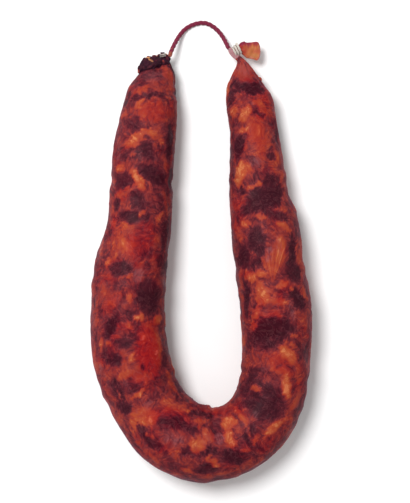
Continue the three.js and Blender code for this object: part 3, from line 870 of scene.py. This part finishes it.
def makeGather(name, setup):
    # the gathered length and its knobs are fused into one skin, which is then creased and marked
    skins = [wrapSkin(name + "Core", casingPlace(setup), setup["rings"], setup["sides"])]
    for x, y, z, radius in setup["knobs"]:
        bm = bmesh.new()
        bmesh.ops.create_icosphere(bm, subdivisions=3, radius=radius * mm)
        bmesh.ops.translate(bm, verts=bm.verts, vec=(x * mm, y * mm, z * mm))
        mesh = bpy.data.meshes.new(name + "Knob")
        bm.to_mesh(mesh)
        bm.free()
        skins.append(bpy.data.objects.new(name + "Knob", mesh))
    joined = joinSkins(name + "Joined", skins)
    fuse = joined.modifiers.new("fuse", "REMESH")
    fuse.mode = "VOXEL"
    fuse.voxel_size = setup["voxel"] * mm
    fused = bpy.data.meshes.new_from_object(joined.evaluated_get(bpy.context.evaluated_depsgraph_get()))
    bpy.data.objects.remove(joined)
    count = len(fused.vertices)
    points = np.empty(count * 3, np.float32)
    outward = np.empty(count * 3, np.float32)
    fused.vertices.foreach_get("co", points)
    fused.vertices.foreach_get("normal", outward)
    points = points.reshape(-1, 3) / mm
    outward = outward.reshape(-1, 3)
    crease = np.clip(1 - 2.2 * np.abs(noiseAt(noiseShift(points, 0.2, 1.0), 0.24, 5.5, 2)), -1, 1)
    wrinkle = noiseAt(points, 0.9, 2.2, 3)
    points = points + outward * (-setup["creases"] * (crease - 0.15) + setup["wrinkles"] * wrinkle)[:, None]
    fused.vertices.foreach_set("co", (points * mm).astype(np.float32).ravel())
    # darker in the creases and lighter on the wrinkles' crests: painted shade and painted light that follow the relief
    tone = setup["tone"] - 0.45 * crease + 0.35 * wrinkle
    reddish = np.zeros(count)
    peach = np.zeros(count)
    paintTop(reddish, points, outward, setup["reddish"], strengths=True)
    paintTop(peach, points, outward, setup["peach"], strengths=True)
    marks = {"tone": tone + 1.5 * reddish + peach, "pale": peach, **plainMarks}
    for mark, values in marks.items():
        layer = fused.attributes.new(mark, "FLOAT", "POINT")
        layer.data.foreach_set("value", np.broadcast_to(values, count).astype(np.float32))
    fused.name = name
    fused.shade_smooth()
    piece = bpy.data.objects.new(name, fused)
    scene.collection.objects.link(piece)
    finishPiece(piece, driedCasing, "casing", "sausage")


makeGather("gathered_casing", gatherSetup)
for name, setup, material in (("left_neck", leftNeckSetup, driedCasing), ("fat_bead", beadSetup, bodyCasing),
                              ("tie_fold", tieSetup, bodyCasing)):
    piece = wrapSkin(name, casingPlace(setup), setup["rings"], setup["sides"])
    finishPiece(piece, material, "casing", "sausage")


# Tail: the casing comes out of its twine as a bundle and opens into a thin, wavy stub

tailSetup = {
    "rings": 150,
    "sides": 120,
    "wave": 0.16,
    "stations": [14.3, 15.1, 16.3, 17.5, 18.6, 19.4, 20.4, 21.6, 22.6, 24.2, 26.2, 27.9, 29.0, 29.8],
    "top": [105.1, 105.85, 106.3, 107.1, 108.2, 109.3, 109.9, 110.3, 109.9, 109.9, 110.1, 110.3, 109.6, 107.2],
    "bottom": [104.1, 104.15, 104.4, 104.6, 104.6, 104.5, 104.0, 103.0, 102.1, 101.7, 101.3, 100.8, 101.6, 104.0],
    "height": [9.7, 9.8, 10.0, 10.1, 10.2, 10.2, 10.1, 10.0, 9.9, 9.7, 9.5, 9.3, 9.2, 9.1],
    "halfDepth": [0.5, 0.85, 1.05, 1.55, 2.1, 2.4, 2.35, 1.95, 1.5, 1.15, 0.85, 0.8, 0.7, 0.45],
}


def tailPlace(share, angle):
    setup = tailSetup
    column = lambda name: smoothLine(np.array(setup[name])[:, None], share)[:, 0]
    x, top, bottom, height, halfDepth = (column(n) for n in ("stations", "top", "bottom", "height", "halfDepth"))
    closing = roundEnds(share, 0.02)
    halfWidth = (top - bottom) / 2 * closing
    across = np.cos(angle)
    openness = smoothStep(19.5, 24, x)
    ripple = setup["wave"] * openness * (np.sin(1.15 * x + 2.6 * across) + 0.6 * np.sin(2.3 * x - 4.0 * across + 1))
    bunched = (1 - openness) * 0.16 * np.sin(9 * angle + 0.7 * x) * np.minimum(1, halfWidth)
    y = (top + bottom) / 2 + (halfWidth + bunched) * across
    z = height + (halfDepth * closing + bunched) * np.sin(angle) + ripple
    points = np.stack([x, y, z], axis=1)
    # the crimson edge along the top is of uneven width
    edge = smoothStep(0.1, 0.95, across + 0.12 * np.sin(1.9 * x) + 0.08 * np.sin(4.3 * x + 1))
    tone = 0.5 * smoothStep(20.5, 25.5, x) - 1.1 * edge - 0.35 * (1 - smoothStep(18.5, 21.5, x))
    tone += 0.35 * smoothStep(24, 27, x) * (1 - edge) * np.cos(1.3 * (points[:, 1] - 103))
    pale = 0.55 * smoothStep(0.6, 1.0, -across) * openness + 0.4 * smoothStep(28.6, 29.5, x)
    # its root is bare casing, as the neck is
    pale += 1.6 * (1 - smoothStep(16.3, 17.6, x))
    return points, {"tone": tone, "pale": pale, **plainMarks}


tail = wrapSkin("tail_stub", tailPlace, tailSetup["rings"], tailSetup["sides"])
finishPiece(tail, tailCasing, "casing", "sausage")


# Twine: two-ply cotton wound round each neck as one coil

twineSetups = {
    "left_twine": {"from": (-19.58, 102.55, 10.1), "to": (-19.7, 104.15, 10.3), "twine": 0.4, "start": 1.42,
                   "end": 1.42, "turns": 1.8, "stain": 0.55},
    "right_twine": {"from": (16.3, 105.4, 10.0), "to": (19.2, 106.55, 10.2), "twine": 0.6, "start": 1.75,
                    "end": 3.2, "turns": 2.4, "stain": 0.05},
}


def makeTwine(node, setup):
    base = np.array(setup["from"])
    axis = np.array(setup["to"]) - base
    side = unit(np.array([-axis[1], axis[0], 0]))
    up = unit(np.cross(axis, side))
    share = np.linspace(0, 1, round(setup["turns"] * 60))
    angle = 2 * math.pi * setup["turns"] * share
    radius = setup["start"] + (setup["end"] - setup["start"]) * share
    line = base + share[:, None] * axis + radius[:, None] * (
        np.cos(angle)[:, None] * side + np.sin(angle)[:, None] * up)
    plyRadius = setup["twine"] * 0.8

    def stain(along, whole):
        return np.clip(setup["stain"] + 0.3 * np.sin(along * 0.9), 0, 1)

    coil = makePlies(node + "_coil", line, unit(axis), 2, plyRadius, setup["twine"] - plyRadius,
                     setup["twine"] * 8, 12, stain)
    finishPiece(coil, naturalThread, "natural_twine", node)


for node, setup in twineSetups.items():
    makeTwine(node, setup)


# Floor and light

lightSetup = {
    "floorSize": 2.4,
    "sky": 0.52,
    "keyPower": 10.7,
    "keySize": 0.42,
    "keyPlace": (-0.32, 0.3, 1.0),
}


def makeFloor(setup):
    bm = bmesh.new()
    bmesh.ops.create_grid(bm, x_segments=1, y_segments=1, size=setup["floorSize"] / 2)
    mesh = bpy.data.meshes.new("floor")
    bm.to_mesh(mesh)
    bm.free()
    floor = bpy.data.objects.new("floor", mesh)
    scene.collection.objects.link(floor)
    material, tree, shader, vector = newMaterial("paleFloor")
    grain = noiseNode(tree, vector, 40, 2)
    wire(tree, mixColour(tree, grain, rgb(246, 246, 246), rgb(249, 249, 249)), shader.inputs["Base Color"])
    shader.inputs["Roughness"].default_value = 0.9
    shader.inputs["Specular IOR Level"].default_value = 0.1
    floor.data.materials.append(material)


def makeLight(setup):
    world = bpy.data.worlds.new("studio")
    world.use_nodes = True
    world.node_tree.nodes["Background"].inputs["Color"].default_value = (1, 1, 1, 1)
    world.node_tree.nodes["Background"].inputs["Strength"].default_value = setup["sky"]
    scene.world = world
    data = bpy.data.lights.new("key", "AREA")
    data.shape = "DISK"
    data.size = setup["keySize"]
    data.energy = setup["keyPower"]
    key = bpy.data.objects.new("key", data)
    x, y, z = setup["keyPlace"]
    key.location = setup["keyPlace"]
    key.rotation_euler = (-math.atan2(y, z), math.atan2(x, z), 0)
    scene.collection.objects.link(key)
    scene.view_settings.view_transform = "Standard"


makeFloor(lightSetup)
makeLight(lightSetup)
print("floor and light set")
